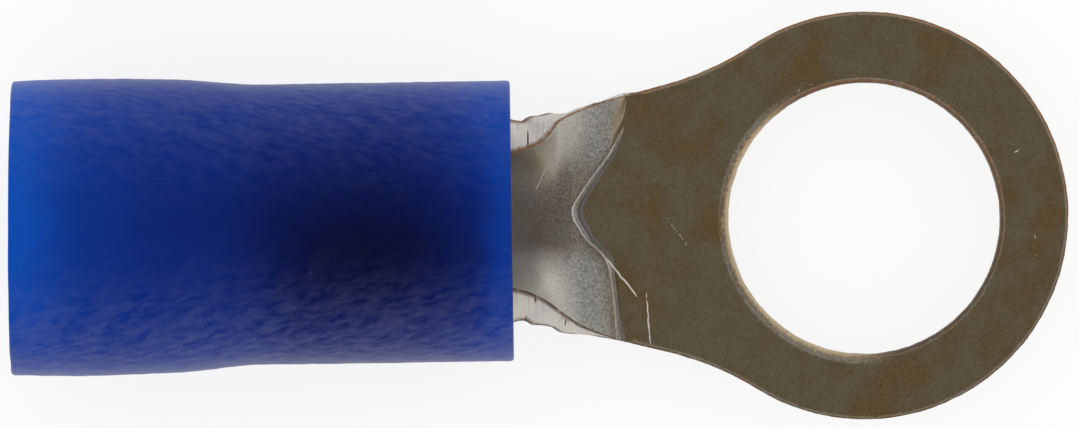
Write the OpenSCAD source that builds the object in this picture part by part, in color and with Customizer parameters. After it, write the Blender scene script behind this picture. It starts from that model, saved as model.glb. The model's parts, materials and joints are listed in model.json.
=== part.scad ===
// Insulated ring terminal: a tinned copper ring tongue and wire barrel, stamped and
// rolled from one sheet, with a vinyl sleeve pushed over the barrel.
// Millimetres. The origin is the stud hole's centre on the tongue's underside.
// +X points out past the ring, -X towards the wire, +Z to the barrel's seam side.

/* [Ring] */
// Diameter of the stud hole
hole_d = 5.3; // [4.3:0.1:6.5]
// Outside diameter of the ring
ring_d = 8; // [6.6:0.1:10]
// Sideways offset of the ring's centre from the punched hole
ring_offset = 0.055; // [0:0.005:0.1]
// Radius of the concave blend between ring and neck
blend_r = 6; // [3:0.5:8]
// Rounding drawn down round the hole's upper edge by the punch
die_roll = 0.05; // [0:0.01:0.1]

/* [Neck] */
// Mean distance from the ring's centre to the ends of the crease at the neck's edges
crease_x = 4.74; // [4.7:0.02:7]
// Width of the neck at the ends of the crease
neck_w = 4.81; // [4.2:0.01:5.8]
// Angle at which each side of the neck widens towards the ring
neck_taper = 14; // [8:1:18]
// How far the crease's point runs back towards the barrel
crease_depth = 0.96; // [0.5:0.01:1.2]
// How far the crease's +Y end lies nearer the ring than its middle, and the -Y end farther
crease_skew = 0.12; // [0:0.01:0.2]
// Length over which the flat neck rolls up into the barrel's lower half
trough_len = 2.31; // [1.8:0.01:3]
// Depth by which the tongue is coined thinner than the sheet
coin_depth = 0.05; // [0:0.01:0.1]
// Drop of the barrel's underside below the tongue's
joggle = 0.1; // [0:0.01:0.3]

/* [Barrel] */
// Thickness of the copper sheet
sheet_t = 0.7; // [0.5:0.01:0.9]
// Inside diameter of the wire barrel
barrel_id = 2.6; // [2.1:0.05:3.2]
// Length of the closed tube
barrel_len = 4.4; // [3.6:0.1:6]
// Fillet between the barrel's front rim and the neck's edges
rim_r = 0.7; // [0.4:0.05:1]
// Open gap along the butted seam
seam_gap = 0.06; // [0.02:0.01:0.2]
// Number of gripping grooves round the bore
groove_count = 3; // [0:1:4]
// Depth of each gripping groove
groove_depth = 0.1; // [0.05:0.01:0.15]
// Width of each gripping groove
groove_w = 0.4; // [0.2:0.05:0.6]
// Lead-in chamfer at the wire mouth
mouth_chamfer = 0.15; // [0:0.05:0.25]

/* [Sleeve] */
// Overall length of the sleeve
sleeve_len = 9.8; // [8.2:0.1:12]
// Length of sleeve that reaches forward of the closed tube
sleeve_lead = 0.85; // [0.6:0.05:1]
// Wall thickness over the barrel
sleeve_wall = 0.73; // [0.5:0.01:1]
// Radial clearance between sleeve and barrel
sleeve_clearance = 0.01; // [0.01:0.01:0.05]
// Bore for the wire's insulation
entry_id = 4.4; // [4.35:0.05:5.3]
// Wall thickness round the wire entry
entry_wall = 0.67; // [0.5:0.01:0.9]
// Extra radius at the middle of the slightly bulged wire entry
entry_bulge = 0.03; // [0:0.01:0.1]
// Length of the tapers that join the wire entry to the barrel's seat
shoulder_len = 1.8; // [1:0.1:2.4]
// Chamfer on the sleeve's cut ends
cut_chamfer = 0.06; // [0:0.01:0.15]

/* [Hidden] */
$fn = 96;
tongue_t = sheet_t - coin_depth;
barrel_r = barrel_id / 2 + sheet_t;
axis_z = barrel_r - joggle;

join_lead = 0.3;      // flat stretch of the neck piece in front of the crease's ends
blend_lead = 0.05;    // straight stretch that is always kept between that and the blends
shoulder_rear = 0.8;  // share of the sleeve's shoulder that lies behind the barrel

// Stations along X, measured from the ring's centre.
ring_r = ring_d / 2;
crease_end_x = -crease_x;
crease_tip_x = crease_end_x - crease_depth;
neck_join_x = crease_end_x + join_lead;
// The neck's sides widen by neck_taper, or as much less as keeps them from passing a small ring.
taper = min(
    neck_taper,
    asin(min(ring_r / norm([crease_end_x, neck_w / 2]), 1)) - atan2(neck_w / 2, crease_x)
);
upright_x = crease_end_x - trough_len;
closed_x = upright_x - rim_r;
barrel_rear_x = closed_x - barrel_len;
sleeve_front_x = closed_x + sleeve_lead;
sleeve_rear_x = sleeve_front_x - sleeve_len;

// The neck's last section lies this far inside the barrel's skins, so that the two
// meet face to face with no edge in common.
skin = 0.01;
step_run = 0.06;      // length of the slope from the coined tongue up to full thickness
tip_share = 0.08;     // place of the crease's point across the neck, as a share of its half width
arm_bend = [7, 3.8];  // how soon the crease's arms turn across the neck, on the -Y and +Y side
edge_lift = 1.5;      // how late the neck's edges tilt up
ramp = 1.6;           // how steeply the edges climb from the crease; 1 is a straight ramp
draw_in = 1.6;        // how late the upper skin's width falls to the bore's
waist = 2;            // how late the outline's width falls to the barrel's
section_steps = 24;   // steps in which a section's curve is summed
neck_rows = 24;
neck_columns = 40;
over = 1;             // how far cutting shapes reach past what they cut

function lerp(a, b, t) = a + (b - a) * t;
function smooth(t) = let (u = min(max(t, 0), 1)) u * u * (3 - 2 * u);

// Half width of the flat neck, which widens evenly towards the ring.
function flat_half(x) = neck_w / 2 + tan(taper) * (x - crease_end_x);

// Share of the roll-up that is done at x: 0 at the crease's ends, 1 where the edges
// stand upright.
function rolled(x) = min(max((crease_end_x - x) / trough_len, 0), 1);

// Angle in degrees by which the neck's edges are tilted up at x.
function edge_angle(x) = 90 * pow(smooth(rolled(x)), edge_lift);

// Half widths of the trough at x, seen from above: of its upper skin, and of its outline
// with the cut faces of the tilted edges.
function skin_half(x) = lerp(flat_half(x), barrel_id / 2, pow(smooth(rolled(x)), draw_in));
function trough_half(x) = lerp(flat_half(x), barrel_r, pow(smooth(rolled(x)), waist));

// The crease is a V with a round point, whose arms turn across the neck towards its edges.
// crease_at gives its place along X at the share v of the half width, from -1 to 1.
// flat_share is the reverse: the share of one side, from the point outward, that is still
// flat at x.
function arm(side) = arm_bend[side < 0 ? 0 : 1];
function crease_end(side) = crease_end_x + side * crease_skew;
function crease_at(v) =
    let (side = v < tip_share ? -1 : 1, w = (v - tip_share) / (side - tip_share))
    lerp(crease_tip_x, crease_end(side), 1 - pow(1 - w * w, arm(side)));
function flat_share(x, side) =
    let (c = min(max((x - crease_tip_x) / (crease_end(side) - crease_tip_x), 0), 1))
    sqrt(1 - pow(1 - c, 1 / arm(side)));

// Height of the trough's upper skin on its lowest line, and of its edge above that.
function floor_z(x) = sheet_t - joggle * smooth((crease_tip_x - x) / (crease_tip_x - upright_x));
function edge_rise(x, side) =
    let (u = min(max((crease_end(side) - x) / (crease_end(side) - upright_x), 0), 1))
    barrel_id / 2 * (1 - pow(1 - u, ramp));

// A point [x, y, z] of the trough's upper skin at x and at the share v of the half width.
// The middle is flat. From there each side curves up so that its edge has the right width,
// height and tilt: the slope grows evenly to the tilt, with a bow added half way.
function skin_point(x, v) =
    let (
        middle = tip_share * (1 - smooth((crease_tip_x - x) / (crease_tip_x - upright_x))),
        side = v < middle ? -1 : 1,
        share = (v - middle) / (side - middle),
        half = skin_half(x) * (1 - side * middle),
        flat = min(flat_share(x, side), 0.999),
        reach = half * (1 - flat),
        turn = edge_angle(x),
        bow = PI / 2 * (atan2(edge_rise(x, side), reach) - turn / 2),
        slopes = [for (k = [0.5 : section_steps]) let (s = k / section_steps) turn * s + bow * sin(180 * s)],
        place = max(share - flat, 0) / (1 - flat) * section_steps,
        passed = [for (k = [0 : section_steps - 1]) min(max(place - k, 0), 1)],
        runs = [for (a = slopes) cos(a)],
        step = reach / (runs * [for (a = slopes) 1]),
        y = min(share, flat) * half + step * (runs * passed),
        z = step * ([for (a = slopes) sin(a)] * passed)
    )
    [x, middle * skin_half(x) + side * y, floor_z(x) + z];

// The under skin's point below the upper skin's point j of row i: one sheet thickness
// away, square to the skin, and held inside the outline and the barrel's size.
function under_point(rows, i, j) =
    let (
        v = 2 * j / neck_columns - 1,
        along = rows[i + 1][j] - rows[max(i - 1, 2)][j],
        across = rows[i][min(j + 1, neck_columns)] - rows[i][max(j - 1, 0)],
        square = cross(across, along),
        lean = 1 - smooth(2 * (i - 2) / (neck_rows - 2) - 1),
        normal = [square.x * lean, square.y, square.z],
        p = rows[i][j] - sheet_t * normal / norm(normal),
        limit = trough_half(p.x) * lerp(1.02, 1, abs(v)),
        q = [p.x, min(max(p.y, -limit), limit), p.z],
        r = norm([q.y, q.z - axis_z]),
        fit = min(barrel_r * (1 + smooth((p.x - sleeve_front_x - 0.1) / 1.5)) / r, 1)
    )
    [q.x, q.y * fit, axis_z + (q.z - axis_z) * fit];

// A row of the neck that ends inside the barrel's lower half, at the given radius.
function barrel_row(r, shares) =
    [for (v = shares) [upright_x, r * sin(90 * v), axis_z - r * cos(90 * v)]];

// The neck's upper skin. Row 0 is the straight join with the tongue, row 1 the foot of the
// coined step, row 2 its top at the crease, and the rest run back to the barrel.
function skin_rows(shares) = [
    for (i = [0 : neck_rows - 1]) [
        for (v = shares)
            let (x = i == 0 ? neck_join_x : crease_at(v) + (i == 1 ? step_run : 0))
            i < 2 ? [x, v * skin_half(x), tongue_t]
            : skin_point(lerp(x, upright_x, (i - 2) / (neck_rows - 2)), v)
    ],
    barrel_row(barrel_id / 2 + skin, shares)
];

// The neck's under skin, in the same rows. It is flat up to the crease.
function under_rows(rows, shares) = [
    for (i = [0 : neck_rows - 1]) [
        for (j = [0 : neck_columns])
            i < 2 ? [rows[i][j].x, rows[i][j].y, 0] : under_point(rows, i, j)
    ],
    barrel_row(barrel_r - skin, shares)
];

// Outside radius of the sleeve at x. The wire entry bulges slightly, and a smooth
// shoulder leads down to the size over the barrel.
function sleeve_r(x) =
    let (
        entry = entry_id / 2 + entry_wall,
        seat = barrel_r + sleeve_clearance + sleeve_wall,
        rise = entry_bulge * sin(180 * min(max((x - sleeve_rear_x) / entry_reach, 0), 1))
    )
    lerp(entry + rise, seat, smooth((x - shoulder_x) / shoulder_len));

shoulder_x = barrel_rear_x - shoulder_rear * shoulder_len;
entry_reach = shoulder_x - sleeve_rear_x;

// The flat tongue: a ring, its concave blends and the start of the tapered neck.
module tongue_outline() {
    // The blend's centre lies one blend radius outside both the ring and the neck's side line.
    // A large ring leaves less room for it in front of the neck's joint.
    line_off = flat_half(0) * cos(taper);
    start = [neck_join_x + blend_lead, flat_half(neck_join_x + blend_lead)];
    room = (start * start - ring_r * ring_r) / (2 * max(ring_r - line_off, 0.001));
    blend = min(blend_r, room);
    reach = ring_r + blend;
    lean = acos(min((line_off + blend) / reach, 1)) + taper;
    centre = [-reach * sin(lean), reach * cos(lean)];
    ring_touch = centre * ring_r / reach;
    line_touch = centre + blend * [sin(taper), -cos(taper)];

    intersection() {
        circle(ring_r);
        translate([ring_touch.x, -ring_d]) square([2 * ring_d, 2 * ring_d]);
    }
    difference() {
        polygon([
            [line_touch.x, -line_touch.y], [centre.x, -centre.y], [ring_touch.x, -ring_touch.y],
            ring_touch, centre, line_touch
        ]);
        for (s = [-1, 1]) translate([centre.x, s * centre.y]) circle(blend);
    }
    polygon([
        [neck_join_x, -flat_half(neck_join_x)], [line_touch.x, -line_touch.y],
        line_touch, [neck_join_x, flat_half(neck_join_x)]
    ]);
}

module tongue() {
    difference() {
        linear_extrude(tongue_t) tongue_outline();
        translate([0, -ring_offset, -over]) cylinder(d = hole_d, h = tongue_t + 2 * over);
        translate([0, -ring_offset, tongue_t - die_roll])
            cylinder(d1 = hole_d, d2 = hole_d + 4 * die_roll, h = 2 * die_roll);
    }
}

// The neck, lofted from the flat tongue to the barrel's lower half.
module neck() {
    shares = [for (j = [0 : neck_columns]) 2 * j / neck_columns - 1];
    upper = skin_rows(shares);
    wide = neck_columns + 1;
    layer = wide * (neck_rows + 1);
    points = [for (row = under_rows(upper, shares)) each row, for (row = upper) each row];
    function at(side, i, j) = side * layer + i * wide + j;
    // Both halves of the neck are divided along the crease's arms.
    function two(a, b, c, d, turned = false) = turned ? [[a, b, d], [b, c, d]] : [[a, b, c], [a, c, d]];
    faces = [
        for (i = [0 : neck_rows - 1]) for (j = [0 : neck_columns - 1]) each concat(
            two(at(1, i, j), at(1, i + 1, j), at(1, i + 1, j + 1), at(1, i, j + 1), j < neck_columns / 2),
            two(at(0, i, j + 1), at(0, i + 1, j + 1), at(0, i + 1, j), at(0, i, j), j >= neck_columns / 2)
        ),
        for (j = [0 : neck_columns - 1]) each concat(
            two(at(0, 0, j), at(1, 0, j), at(1, 0, j + 1), at(0, 0, j + 1)),
            two(at(0, neck_rows, j + 1), at(1, neck_rows, j + 1), at(1, neck_rows, j), at(0, neck_rows, j))
        ),
        for (i = [0 : neck_rows - 1]) each concat(
            two(at(0, i + 1, 0), at(1, i + 1, 0), at(1, i, 0), at(0, i, 0)),
            two(at(0, i, neck_columns), at(1, i, neck_columns), at(1, i + 1, neck_columns), at(0, i + 1, neck_columns))
        )
    ];
    polyhedron(points, faces);
}

// Turns a shape drawn round +Z so that it lies round the barrel's axis, with its z
// measured along +X.
module along_barrel(x) {
    translate([x, 0, axis_z]) rotate([0, 90, 0]) children();
}

// The rolled wire barrel, with its seam on top and its front rim cut away above the
// neck.
module barrel() {
    whole = upright_x - barrel_rear_x;
    bore_r = barrel_id / 2;
    pitch = barrel_len / (groove_count + 1);
    difference() {
        along_barrel(barrel_rear_x) cylinder(r = barrel_r, h = whole);
        along_barrel(barrel_rear_x - over) cylinder(r = bore_r, h = whole + 2 * over);
        along_barrel(barrel_rear_x - mouth_chamfer)
            cylinder(r1 = bore_r + 2 * mouth_chamfer, r2 = bore_r, h = 2 * mouth_chamfer);
        for (k = [1 : 1 : groove_count])
            along_barrel(barrel_rear_x + k * pitch - groove_w / 2)
                cylinder(r = bore_r + groove_depth, h = groove_w);
        translate([barrel_rear_x - over, -seam_gap / 2, axis_z])
            cube([whole + 2 * over, seam_gap, barrel_r + over]);
        translate([0, barrel_r + over, axis_z + skin]) rotate([90, 0, 0])
            linear_extrude(2 * (barrel_r + over)) rim_cut();
    }
}

// Side view of what is cut off above the neck: upright at the closed tube, with a round
// foot that runs out level with the neck's edges.
module rim_cut() {
    translate([closed_x, 0]) difference() {
        square([rim_r + over, barrel_r + over]);
        difference() {
            square(rim_r);
            translate([rim_r, rim_r]) circle(rim_r);
        }
    }
}

module terminal() {
    color("silver") translate([0, ring_offset, 0]) {
        tongue();
        neck();
        barrel();
    }
}

// The vinyl sleeve: a bore that grips the barrel, opening to a wider wire entry.
module insulating_sleeve() {
    seat_r = barrel_r + sleeve_clearance;
    flare_x = barrel_rear_x - mouth_chamfer;
    flare_len = shoulder_len / 3;
    outside = [
        for (k = [0 : 8]) lerp(sleeve_rear_x + cut_chamfer, shoulder_x, k / 8),
        for (k = [1 : 10]) shoulder_x + shoulder_len * k / 10
    ];
    profile = [
        [sleeve_rear_x, entry_id / 2],
        [sleeve_rear_x, sleeve_r(sleeve_rear_x) - cut_chamfer],
        for (x = outside) [x, sleeve_r(x)],
        [sleeve_front_x - cut_chamfer, sleeve_r(sleeve_front_x)],
        [sleeve_front_x, sleeve_r(sleeve_front_x) - cut_chamfer],
        [sleeve_front_x, seat_r],
        [flare_x, seat_r],
        [flare_x - flare_len, entry_id / 2]
    ];
    color("royalblue") translate([0, ring_offset, 0]) along_barrel(0)
        rotate_extrude() polygon([for (p = profile) [p.y, p.x]]);
}

terminal();
insulating_sleeve();
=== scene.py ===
"""Looks of an insulated ring terminal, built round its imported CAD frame.

Two pieces: the stamped and rolled terminal of tinned copper, and the vinyl sleeve pushed
over its barrel. Lengths inside the classes are millimetres; meshes are written in metres.
"""

import json
import logging
import math
from dataclasses import dataclass
from enum import Enum
from typing import Callable, Sequence

import bmesh
import bpy
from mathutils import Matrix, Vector, noise


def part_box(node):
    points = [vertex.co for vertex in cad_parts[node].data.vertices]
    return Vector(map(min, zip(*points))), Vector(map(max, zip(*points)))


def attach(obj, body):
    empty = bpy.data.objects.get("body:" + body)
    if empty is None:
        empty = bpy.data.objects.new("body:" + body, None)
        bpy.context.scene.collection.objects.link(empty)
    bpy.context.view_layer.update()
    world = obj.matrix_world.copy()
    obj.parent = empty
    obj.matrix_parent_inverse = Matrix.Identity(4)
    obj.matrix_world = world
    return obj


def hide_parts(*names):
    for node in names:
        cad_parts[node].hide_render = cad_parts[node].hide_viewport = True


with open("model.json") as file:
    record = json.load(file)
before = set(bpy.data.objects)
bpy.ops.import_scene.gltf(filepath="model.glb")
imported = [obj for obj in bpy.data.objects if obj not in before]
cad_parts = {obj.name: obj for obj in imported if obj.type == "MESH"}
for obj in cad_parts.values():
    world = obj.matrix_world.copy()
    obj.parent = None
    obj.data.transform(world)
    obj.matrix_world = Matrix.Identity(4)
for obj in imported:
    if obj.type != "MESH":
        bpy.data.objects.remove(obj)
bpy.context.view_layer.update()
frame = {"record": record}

MM = 0.001
# Points nearer than this are merged, in millimetres.
MERGE = 0.002
# Faces that meet at more than this stay sharp, in degrees.
SHARP = 50.0
# Play between the barrel and the sleeve round it, and the table's depth below the sleeve.
SEAT_PLAY = 0.01
TABLE_GAP = 0.02

Point = tuple[float, float, float]
Colour = tuple[float, float, float, float]
Curve = tuple[tuple[float, float], ...]
Piece = bpy.types.Object
Socket = bpy.types.NodeSocket
Value = float | Sequence[float] | Socket

log = logging.getLogger("ring_terminal")


# ---------------------------------------------------------------------------------------
# Small helpers
# ---------------------------------------------------------------------------------------

def lerp(a: float, b: float, t: float) -> float:
    """Returns the value a share t of the way from a to b."""
    return a + (b - a) * t


def clamp(t: float) -> float:
    """Returns t held between 0 and 1."""
    return min(max(t, 0.0), 1.0)


def smooth(t: float) -> float:
    """Returns a smooth step from 0 to 1 as t goes from 0 to 1."""
    u = clamp(t)
    return u * u * (3 - 2 * u)


def through(points: Sequence[tuple[float, float]], x: float) -> float:
    """Reads a smooth curve through a few points.

    Args:
        points: Pairs (x, y) in order of x.
        x: Where the curve is read; it is held to the range of the points.

    Returns:
        The y of a cubic curve whose slopes never overshoot the points.
    """
    count = len(points)
    x = min(max(x, points[0][0]), points[-1][0])
    k = max(i for i in range(count - 1) if points[i][0] <= x or i == 0)
    slopes = [(b[1] - a[1]) / (b[0] - a[0]) for a, b in zip(points, points[1:])]

    def tangent(i: int) -> float:
        """Returns the curve's slope at point i."""
        if i == 0 or i == count - 1:
            return slopes[min(i, count - 2)]
        before, after = slopes[i - 1], slopes[i]
        return 0.0 if before * after <= 0 else 2 * before * after / (before + after)

    step = points[k + 1][0] - points[k][0]
    t = (x - points[k][0]) / step
    a, b = points[k][1], points[k + 1][1]
    return (a * (1 + 2 * t) * (1 - t) ** 2 + b * t * t * (3 - 2 * t)
            + step * (tangent(k) * t * (1 - t) ** 2 - tangent(k + 1) * t * t * (1 - t)))


def deselect() -> None:
    """Leaves object mode with nothing selected."""
    if bpy.context.object and bpy.context.object.mode != "OBJECT":
        bpy.ops.object.mode_set(mode="OBJECT")
    bpy.ops.object.select_all(action="DESELECT")


def activate(piece: Piece) -> None:
    """Makes piece the only selected object and the active one."""
    deselect()
    piece.select_set(True)
    bpy.context.view_layer.objects.active = piece


def apply_modifier(piece: Piece, kind: str, **settings: object) -> None:
    """Adds a modifier to piece and applies it.

    Args:
        piece: The object to change.
        kind: Blender's modifier type, such as "SOLIDIFY".
        **settings: Properties set on the modifier before it is applied.
    """
    activate(piece)
    modifier = piece.modifiers.new(kind.lower(), kind)
    for key, value in settings.items():
        setattr(modifier, key, value)
    bpy.ops.object.modifier_apply(modifier=modifier.name)


def weld(piece: Piece) -> None:
    """Merges doubled points and turns all faces outwards.

    Args:
        piece: The object to change, which ends active and in object mode.
    """
    activate(piece)
    bpy.ops.object.mode_set(mode="EDIT")
    bpy.ops.mesh.select_all(action="SELECT")
    bpy.ops.mesh.remove_doubles(threshold=MERGE * MM)
    bpy.ops.mesh.normals_make_consistent(inside=False)
    bpy.ops.object.mode_set(mode="OBJECT")


def grid_piece(name: str, along: int, across: int, place: Callable[[int, int], Point]) -> Piece:
    """Makes a sheet from a grid whose points are then put in place.

    Args:
        name: The object's name.
        along: Number of cells in the first direction.
        across: Number of cells in the second direction.
        place: Gives a point in millimetres for the first and the second index.

    Returns:
        The new object, in metres, at the origin.
    """
    deselect()
    bpy.ops.mesh.primitive_grid_add(x_subdivisions=along, y_subdivisions=across, size=2)
    piece = bpy.context.object
    piece.name = piece.data.name = name
    for vertex in piece.data.vertices:
        i = round((vertex.co.x + 1) / 2 * along)
        j = round((vertex.co.y + 1) / 2 * across)
        vertex.co = Vector(place(i, j)) * MM
    return piece


def select_edges(piece: Piece, wanted: Callable[[bmesh.types.BMEdge], bool]) -> None:
    """Selects edges in edit mode.

    Args:
        piece: The object, which becomes active and enters edit mode.
        wanted: Tells whether an edge is selected.
    """
    activate(piece)
    bpy.ops.object.mode_set(mode="EDIT")
    bpy.ops.mesh.select_mode(type="EDGE")
    bpy.ops.mesh.select_all(action="DESELECT")
    mesh = bmesh.from_edit_mesh(piece.data)
    for edge in filter(wanted, mesh.edges):
        edge.select = True
    bmesh.update_edit_mesh(piece.data)


# ---------------------------------------------------------------------------------------
# The stamped terminal
# ---------------------------------------------------------------------------------------

class SheetFace(Enum):
    """Which side of the sheet a face lies on, kept as its material index while it is shaped."""

    UPPER = 0
    UNDER = 1
    CUT = 2
    EDGE = 3


@dataclass
class StampedTerminal:
    """The one-piece terminal: ring, neck, rolled trough and wire barrel.

    The sheet is shaped by its upper skin, which is the inside of the trough and the barrel.
    """

    hole_r: float
    ring_r: float
    axis_y: float
    axis_z: float
    bore_r: float
    rear_x: float
    sheet: float = 0.7
    coin: float = 0.05
    crease_x: float = -4.8
    neck_half: float = 2.39
    taper_deg: float = 14.0
    blend_r: float = 6.0
    trough_len: float = 2.25
    rim_r: float = 0.7
    seam_gap: float = 0.06
    columns: int = 112
    step: float = 0.05
    hole_roll: float = 0.06
    hole_lean: float = 0.05
    lean_turn: float = 200.0
    edge_round: float = 0.055
    ramp: float = 1.6
    # How far in front of the crease the grids of the neck and the tongue meet.
    lead: float = 0.25
    # Where the crease lies along X, at the share of the half width, from -Y to +Y.
    crease: Curve = (
        (-1.0, -4.86), (-0.42, -5.0), (-0.32, -5.1), (-0.16, -5.47), (0.08, -5.7),
        (0.27, -5.48), (0.6, -4.89), (0.8, -4.69), (1.0, -4.62),
    )
    # Half width of the upper skin behind the crease, and the tilt of its edge in degrees, by X.
    near_half: Curve = (
        (-7.05, 1.3), (-6.85, 1.32), (-6.37, 1.5), (-6.12, 1.67), (-5.87, 1.87), (-5.58, 2.08),
        (-5.19, 2.25), (-4.8, 2.39),
    )
    far_half: Curve = (
        (-7.05, 1.3), (-6.85, 1.315), (-6.35, 1.5), (-6.12, 1.7), (-5.96, 1.93), (-5.76, 2.05),
        (-5.4, 2.2), (-5.1, 2.305), (-4.8, 2.39),
    )
    near_tilt: Curve = (
        (-7.05, 90.0), (-6.75, 79.0), (-6.4, 58.0), (-6.0, 36.0), (-5.6, 18.0), (-5.2, 6.0), (-4.8, 0.0),
    )
    far_tilt: Curve = (
        (-7.05, 90.0), (-6.75, 78.0), (-6.4, 55.0), (-6.0, 29.0), (-5.6, 11.0), (-5.2, 3.0), (-4.8, 0.0),
    )
    # Half width over the cut faces behind the crease, by X.
    near_reach: Curve = (
        (-7.05, 2.0), (-6.85, 2.03), (-6.37, 2.05), (-6.16, 2.09), (-6.03, 2.18), (-5.86, 2.22),
        (-5.5, 2.25), (-5.19, 2.29), (-4.8, 2.4),
    )
    far_reach: Curve = (
        (-7.05, 2.0), (-6.85, 2.03), (-6.37, 2.05), (-6.12, 2.1), (-5.98, 2.05), (-5.86, 2.02),
        (-5.76, 2.07), (-5.4, 2.215), (-5.1, 2.32), (-4.8, 2.4),
    )
    # The crease's tip, as a share of the +Y half width.
    tip_share: float = 0.08

    @property
    def upright_x(self) -> float:
        """Where the neck's edges stand upright."""
        return self.crease_x - self.trough_len

    @property
    def closed_x(self) -> float:
        """Where the barrel's closed tube begins."""
        return self.upright_x - self.rim_r

    @property
    def tip_x(self) -> float:
        """Where the crease reaches farthest back."""
        return min(point[1] for point in self.crease)

    # -- form of the sheet -------------------------------------------------------------

    def crease_at(self, v: float) -> float:
        """Returns where the crease lies along X at the share v of the half width."""
        return through(self.crease, v)

    def edge_tilt(self, x: float, side: float) -> float:
        """Returns how far one side's edge is tilted up at x, in radians."""
        return math.radians(through(self.far_tilt if side > 0 else self.near_tilt, x))

    def edge_rise(self, x: float, side: float) -> float:
        """Returns how far one side's edge lies above the trough's floor at x.

        The edges ramp up from the crease and level out where they stand upright.
        """
        start = self.crease_at(side)
        soft = 0.14 if side > 0 else 0.04
        run = math.hypot(max(start + soft - x, 0.0), soft) - soft
        share = clamp(run / (math.hypot(start + soft - self.upright_x, soft) - soft))
        return self.bore_r * (1 - (1 - share) ** self.ramp)

    def plan_half(self, x: float, side: float) -> float:
        """Returns how far one edge of the upper skin lies from the middle at x, seen from above."""
        if x >= self.crease_x:
            return self.neck_half + math.tan(math.radians(self.taper_deg)) * (x - self.crease_x)
        return through(self.far_half if side > 0 else self.near_half, x)

    def middle(self, x: float) -> float:
        """Returns the share of the +Y half width at which the trough's lowest line lies."""
        return self.tip_share * (1 - smooth((self.tip_x - x) / (self.tip_x - self.upright_x)))

    def flat_share(self, x: float, side: float) -> float:
        """Returns the share, from the middle out to one edge, that is still flat at x."""
        low, high = 0.0, 1.0
        middle = self.middle(x)
        if self.crease_at(side) <= x:
            return 1.0
        for _ in range(24):
            half_way = (low + high) / 2
            if self.crease_at(lerp(middle, side, half_way)) < x:
                low = half_way
            else:
                high = half_way
        return low

    def floor_z(self, x: float) -> float:
        """Returns the height of the trough's floor on its middle line."""
        share = smooth((self.tip_x - x) / (self.tip_x - self.upright_x))
        return lerp(self.sheet, self.axis_z - self.bore_r, share)

    def skin_point(self, x: float, q: float) -> Point:
        """Returns a point of the sheet's upper skin.

        Behind the crease each half of a section is flat up to the crease, and then curves up so
        that its edge reaches the wanted place, height and tilt.

        Args:
            x: Place along the terminal.
            q: Place across: -1 to 1 is the width up to where the edges stand upright,
                and behind that, in the barrel, 2 is the seam.

        Returns:
            The point, in millimetres.
        """
        if x < self.upright_x:
            angle = q * math.pi / 2
            return (x, self.axis_y + self.bore_r * math.sin(angle),
                    self.axis_z - self.bore_r * math.cos(angle))
        middle = self.middle(x)
        side = 1.0 if q >= middle else -1.0
        share = (q - middle) / (side - middle)
        middle_y = middle * self.plan_half(x, 1.0)
        half = abs(side * self.plan_half(x, side) - middle_y)
        flat = self.flat_share(x, side)
        if share <= flat:
            return (x, self.axis_y + middle_y + side * share * half, self.floor_z(x))
        tilt, rise, reach = self.edge_tilt(x, side), self.edge_rise(x, side), half * (1 - flat)
        hollow, full, steps = -0.2, 0.8, 40
        bow = min(max(math.pi / 2 * (math.atan2(rise, reach) - tilt / 2), hollow), full)
        turns = [tilt * (k + 0.5) / steps + bow * math.sin(math.pi * (k + 0.5) / steps)
                 for k in range(steps)]
        length = reach / sum(math.cos(turn) for turn in turns)
        place = (share - flat) / (1 - flat) * steps
        whole = min(int(place), steps - 1)
        part = place - whole
        out = length * (sum(math.cos(turn) for turn in turns[:whole]) + part * math.cos(turns[whole]))
        up = length * (sum(math.sin(turn) for turn in turns[:whole]) + part * math.sin(turns[whole]))
        return (x, self.axis_y + middle_y + side * (flat * half + out), self.floor_z(x) + up)

    # -- meshes ------------------------------------------------------------------------

    def neck_rows(self) -> list[float]:
        """Returns the rows' distances behind the crease, fine where the step is."""
        rows = [-self.lead, -0.2, -0.15, -0.11, -0.085, -0.065, -0.05, -0.035, -0.02, -0.005,
                0.01, 0.025, 0.045, 0.07, 0.1, 0.14]
        mean = self.mean_trough()
        steps = 36
        start = rows[-1]
        return rows + [lerp(start, mean, (k + 1) / steps) for k in range(steps)]

    def mean_trough(self) -> float:
        """Returns the trough's mean length behind the crease."""
        return sum(self.crease_at(k / 10) for k in range(-10, 11)) / 21 - self.upright_x

    def rolled_sheet(self) -> Piece:
        """Makes the upper skin of the neck and the barrel as one grid."""
        rows = self.neck_rows()
        mean = self.mean_trough()
        barrel_r = self.bore_r + self.sheet
        arc = [math.pi / 2 * k / 8 for k in range(1, 9)]
        edge = [(self.upright_x - self.rim_r * math.sin(a),
                 1 + math.asin(self.rim_r * (1 - math.cos(a)) / barrel_r) / (math.pi / 2)) for a in arc]
        seam = 2 - math.asin(self.seam_gap / 2 / barrel_r) / (math.pi / 2)
        edge += [(self.closed_x, lerp(edge[-1][1], seam, k / 14)) for k in range(1, 15)]
        edge += [(lerp(self.closed_x, self.rear_x, k / 14), seam) for k in range(1, 15)]

        def place(i: int, j: int) -> Point:
            """Returns the point of row i and column j."""
            v = 2 * j / self.columns - 1
            if i < len(rows):
                t, crease = rows[i], self.crease_at(v)
                extra = (crease - self.upright_x - mean) * smooth(t / mean)
                x = crease - t - extra if i < len(rows) - 1 else self.upright_x
                if t <= 0:
                    return (x, self.axis_y + v * self.plan_half(x, math.copysign(1, v)), self.sheet)
                return self.skin_point(x, v)
            k = i - len(rows)
            edge_x, q = edge[k]
            middle_x = lerp(self.upright_x, self.rear_x, (k + 1) / len(edge))
            return self.skin_point(lerp(middle_x, edge_x, abs(v) ** 1.5) - 1e-6, v * q)

        return grid_piece("rolled_sheet", len(rows) + len(edge) - 1, self.columns, place)

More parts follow.
